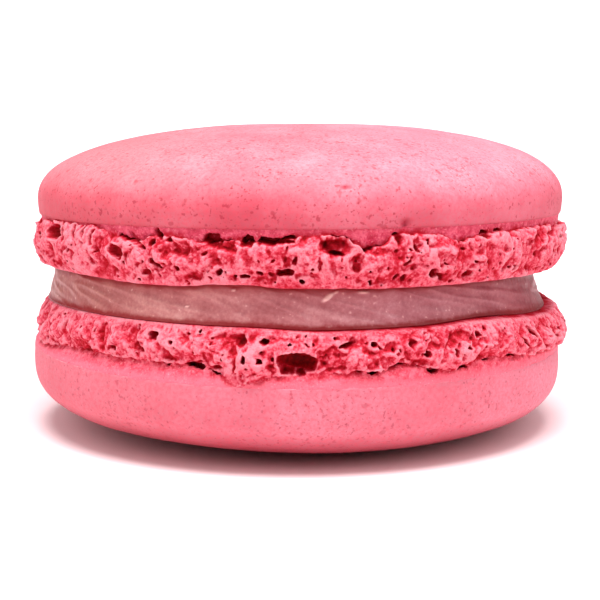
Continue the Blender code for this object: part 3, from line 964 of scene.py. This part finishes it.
def crust_material(name, paleness, speckle, cool_from, cool_to, under_from, under_to, under):
    """Baked crust: mottled pinks, a painted pale sheen on top, grain, specks and reddened dents.

    paleness mixes in a pale pink, which on the lower shell is painted light from below, and
    speckle is the specks' strength.  Painted light: a cooler pink grows from cool_from to
    cool_to, in mm to the right, and a warmer one to the left.  Painted shade: a deep pink
    grows to the share under while the Z of the surface's normal falls from under_from to
    under_to.
    """
    shader = Shader(name)
    colour = shader.ramp(shader.noise(7.0, 4, 0.6), CRUST_SIDE)
    # Painted sheen: the crust turns paler where it faces up, standing in for light on its top
    top_sheen = shader.ramp(shader.noise(4.5, 4, 0.62), CRUST_TOP_SHEEN)
    rightwards = shader.part(shader.place, "X")
    facing = shader.part(shader.add("NewGeometry", {}).outputs["Normal"], "Z")
    upwards = shader.plus(facing, shader.times(shader.waver(3.0, 4, 0.6), 0.7))
    upwards = shader.span(upwards, 0.25, 0.9)
    colour = shader.mix(shader.times(upwards, 0.85), colour, top_sheen)
    # Painted light: on the lower shell a larger share of pale pink stands in for light from below
    colour = shader.mix(paleness, colour, CRUST_PALE)
    # Painted light: cooler to the right and warmer to the left, more so where the crust faces up
    for start, end, at_side, on_top, tint in ((cool_from, cool_to, 0.13, 0.2, CRUST_RIGHT_LIGHT),
                                              (-4, -13, 0.18, 0.6, CRUST_LEFT_LIGHT)):
        painted_tint = shader.times(shader.span(rightwards, start * MM, end * MM),
                             shader.span(upwards, 0, 1, at_side, on_top))
        colour = shader.mix(painted_tint, colour, tint)
    # Painted shade: a deep pink where the crust faces down, by the upper shell's crease and on the
    # lower shell's resting side
    below = shader.span(facing, under_from, under_to, 0, under)
    colour = shader.mix(below, colour, CRUST_SHADE_BELOW)
    grain = shader.span(shader.noise(0.3, 3, 0.7), 0.42, 0.66)
    colour = shader.mix(shader.times(grain, 0.38), colour, CRUST_GRAIN)
    crowd = shader.span(shader.noise(6.0, 2, 0.5), 0.35, 0.65, 0.05, -0.01)
    for size, threshold, darkness in ((0.7, 0.68, 0.5), (0.38, 0.66, 0.6), (0.22, 0.66, 0.65)):
        specks = shader.math("SUBTRACT", shader.noise(size, 1, 0.4), crowd)
        speck = shader.span(specks, threshold, threshold + 0.06)
        colour = shader.mix(shader.times(speck, darkness * speckle), colour, CRUST_SPECK)
    colour = shader.mix(shader.times(shader.attribute("scar"), 0.85), colour, CRUST_SCAR)
    # The finest specks are pits
    height = shader.math("SUBTRACT", shader.noise(0.3, 3, 0.6), shader.times(speck, 0.8))
    shader.bump(height, 0.025)
    return shader.finish(colour, roughness=0.7, subsurface=0.12, reach=0.6, specular=0.4)


def foot_material(name, veil_stops, blending):
    """Torn meringue: pale on its lumps, with painted shade reddening and darkening its hollows
    and the skin under its torn edge, and a veil of smooth skin.

    blending is how far the veil takes on the hem's paler colour next to the crease, which is
    painted light.
    """
    shader = Shader(name)
    # Painted shade: deeper, more enclosed places get redder and darker colours, over random
    # mottling
    value = 0.18
    for source, amount in (("depth", 0.36), ("cavity", 0.8), ("crevice", 0.6)):
        value = shader.plus(value, shader.times(shader.attribute(source), amount))
    for size, detail, amount in ((0.2, 3, 0.75), (0.9, 4, 0.6), (3.2, 2, 0.65)):
        value = shader.plus(value, shader.times(shader.waver(size, detail, 0.6), amount))
    colour = shader.ramp(value, FOOT_DEPTH_SHADE)
    veil = shader.ramp(shader.noise(0.6, 4, 0.7), veil_stops)
    # Painted light: the skin next to the crease turns paler
    veil = shader.mix(shader.times(shader.attribute("hem"), blending), veil, VEIL_HEM_LIGHT)
    blotches = shader.span(shader.noise(1.2, 3, 0.5), 0.62, 0.38)
    veil = shader.mix(shader.times(shader.attribute("shade"), blotches), veil, VEIL_SHADE)
    colour = shader.mix(shader.attribute("veil"), colour, veil)
    grains = shader.noise(0.16, 2, 0.5)
    exposed = shader.span(value, 0.42, 0.2)
    for low, high, strength, tint in ((0.6, 0.72, 0.55, DARK_GRAIN), (0.4, 0.28, 0.5, PALE_GRAIN)):
        grain = shader.times(exposed, shader.span(grains, low, high, 0, strength))
        colour = shader.mix(grain, colour, tint)
    shader.bump(shader.noise(0.2, 3, 0.7), 0.07)
    return shader.finish(colour, roughness=0.6, subsurface=0.35, reach=0.4, specular=0.08)


def cream_material():
    """Mauve cream: streaked and grainy, with pale flecks and flakes, and painted shade darkening
    its edges and the seams where it meets the shells.
    """
    shader = Shader("mauve_cream")
    value = shader.plus(shader.times(shader.attribute("streak"), 0.28), 0.42)
    value = shader.plus(value, shader.times(shader.waver(0.3, 3, 0.7), 0.75))
    value = shader.plus(value, shader.times(shader.waver(2.2, 3, 0.6), 0.7))
    colour = shader.ramp(value, CREAM_BODY)
    # Painted light: warmer and paler to the left, darker and mauver to the right
    rightwards = shader.span(shader.part(shader.place, "X"), -20 * MM, 20 * MM)
    colour = shader.mix(1.0, colour, shader.ramp(rightwards, CREAM_LIGHT_TINT), "MULTIPLY")
    flecks = shader.times(shader.span(shader.noise(0.3, 1, 0.4), 0.7, 0.78), 0.35)
    flecks = shader.math("MAXIMUM", flecks, shader.attribute("flake"))
    colour = shader.mix(flecks, colour, CREAM_FLECK)
    # Painted shade: darker towards the top and bottom, where the shells' feet overhang and meet
    # the cream
    share = shader.plus(shader.attribute("share"), shader.times(shader.waver(1.2, 3, 0.6), 0.14))
    edges = shader.math("MAXIMUM", shader.span(share, 0.62, 1.02), shader.span(share, 0.3, 0.0))
    edges = shader.math("POWER", edges, 2.0)
    colour = shader.mix(shader.times(edges, 0.9), colour, CREAM_EDGE_SHADE)
    seam_shade = shader.math("MAXIMUM", shader.span(share, 0.87, 0.95), shader.span(share, 0.15, 0.07))
    colour = shader.mix(shader.times(seam_shade, 0.8), colour, CREAM_SEAM_SHADE)
    shader.bump(shader.noise(0.35, 3, 0.6), 0.03)
    return shader.finish(colour, roughness=0.42, subsurface=0.15, reach=0.25, specular=0.3)


def floor_material():
    shader = Shader("pale_floor")
    colour = shader.ramp(shader.noise(4.0, 2, 0.5), FLOOR)
    return shader.finish(colour, roughness=0.9, subsurface=0.0, reach=1.0, specular=0.0)


# ---- the stage

def add_stage():
    bpy.ops.mesh.primitive_plane_add(size=60)
    floor = bpy.context.object
    floor.name = "floor"
    floor.data.materials.append(floor_material())


def add_lights():
    """Broad suns under an even white sky."""
    world = bpy.data.worlds.new("studio")
    bpy.context.scene.world = world
    world.use_nodes = True
    background = world.node_tree.nodes["Background"]
    background.inputs["Color"].default_value = (1, 1, 1, 1)
    background.inputs["Strength"].default_value = 0.17
    for name, strength, spread, lean, turn in LIGHTS:
        light = bpy.data.lights.new(name, "SUN")
        light.energy = strength
        light.angle = radians(spread)
        lamp = bpy.data.objects.new(name, light)
        lamp.rotation_euler = (radians(lean), 0, radians(turn))
        bpy.context.scene.collection.objects.link(lamp)


def add_camera():
    camera = bpy.data.cameras.new("camera")
    camera.sensor_width = 36
    camera.lens = 112.5
    eye = bpy.data.objects.new("camera", camera)
    eye.location = (0.00035, -0.16, 0.0361)
    degrees_down = 9.2
    eye.rotation_euler = (radians(90 - degrees_down), 0, 0)
    bpy.context.scene.collection.objects.link(eye)
    bpy.context.scene.camera = eye


def main():
    bpy.context.scene.view_settings.view_transform = "Standard"
    low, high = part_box("upper_shell")
    upper = upper_place(low, high)
    low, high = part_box("lower_shell")
    lower = lower_place(low, high)
    lower_height = (high[2] - low[2]) / MM + REST_OVERSHOOT
    # The upper foot's darker skin is painted shade, and the lower foot's paler skin is painted
    # light
    upper_torn = foot_material("upper_torn", UPPER_VEIL, blending=0.2)
    lower_torn = foot_material("lower_torn", LOWER_VEIL, blending=0.9)
    upper_crust = crust_material("upper_crust", paleness=0.05, speckle=1, cool_from=0, cool_to=8,
                                 under_from=0.25, under_to=-0.35, under=0.3)
    # The lower crust's larger paleness is painted light from below
    lower_crust = crust_material("lower_crust", paleness=0.36, speckle=0.7, cool_from=12,
                                 cool_to=20, under_from=-0.52, under_to=-0.9, under=0.65)
    add_dome("upper_dome", UPPER_FOOT_HEIGHT, UPPER_HEIGHT, UPPER_CROWN_POWER, UPPER_SKIN_RADIUS,
             step=0.12, place=upper, turned_over=False, material=upper_crust,
             node="upper_shell", seed=21, dents=UPPER_DENTS)
    add_dome("lower_dome", LOWER_FOOT_HEIGHT, lower_height, LOWER_CROWN_POWER, LOWER_SKIN_RADIUS,
             step=0.01, place=lower, turned_over=True, material=lower_crust,
             node="lower_shell", seed=22, dents=[])
    foot = Foot(UPPER_FOOT_HEIGHT, UPPER_BASE_RADIUS, UPPER_SKIN_RADIUS, skin_tuck=0.12,
                roundness=0.5, flush=0.05, seed=5, edge=UPPER_EDGE, gapes=UPPER_GAPES,
                hollows=UPPER_HOLLOWS, recesses=UPPER_RECESSES)
    add_foot("upper_foot", foot, upper, False, upper_torn, "upper_shell")
    foot = Foot(LOWER_FOOT_HEIGHT, LOWER_BASE_RADIUS, LOWER_SKIN_RADIUS, skin_tuck=0.05,
                roundness=0.75, flush=0.4, seed=8, edge=LOWER_EDGE, gapes=LOWER_GAPES,
                hollows=LOWER_HOLLOWS, recesses=LOWER_RECESSES)
    add_foot("lower_foot", foot, lower, True, lower_torn, "lower_shell")
    add_filling(cream_material())
    add_stage()
    add_lights()
    add_camera()


main()
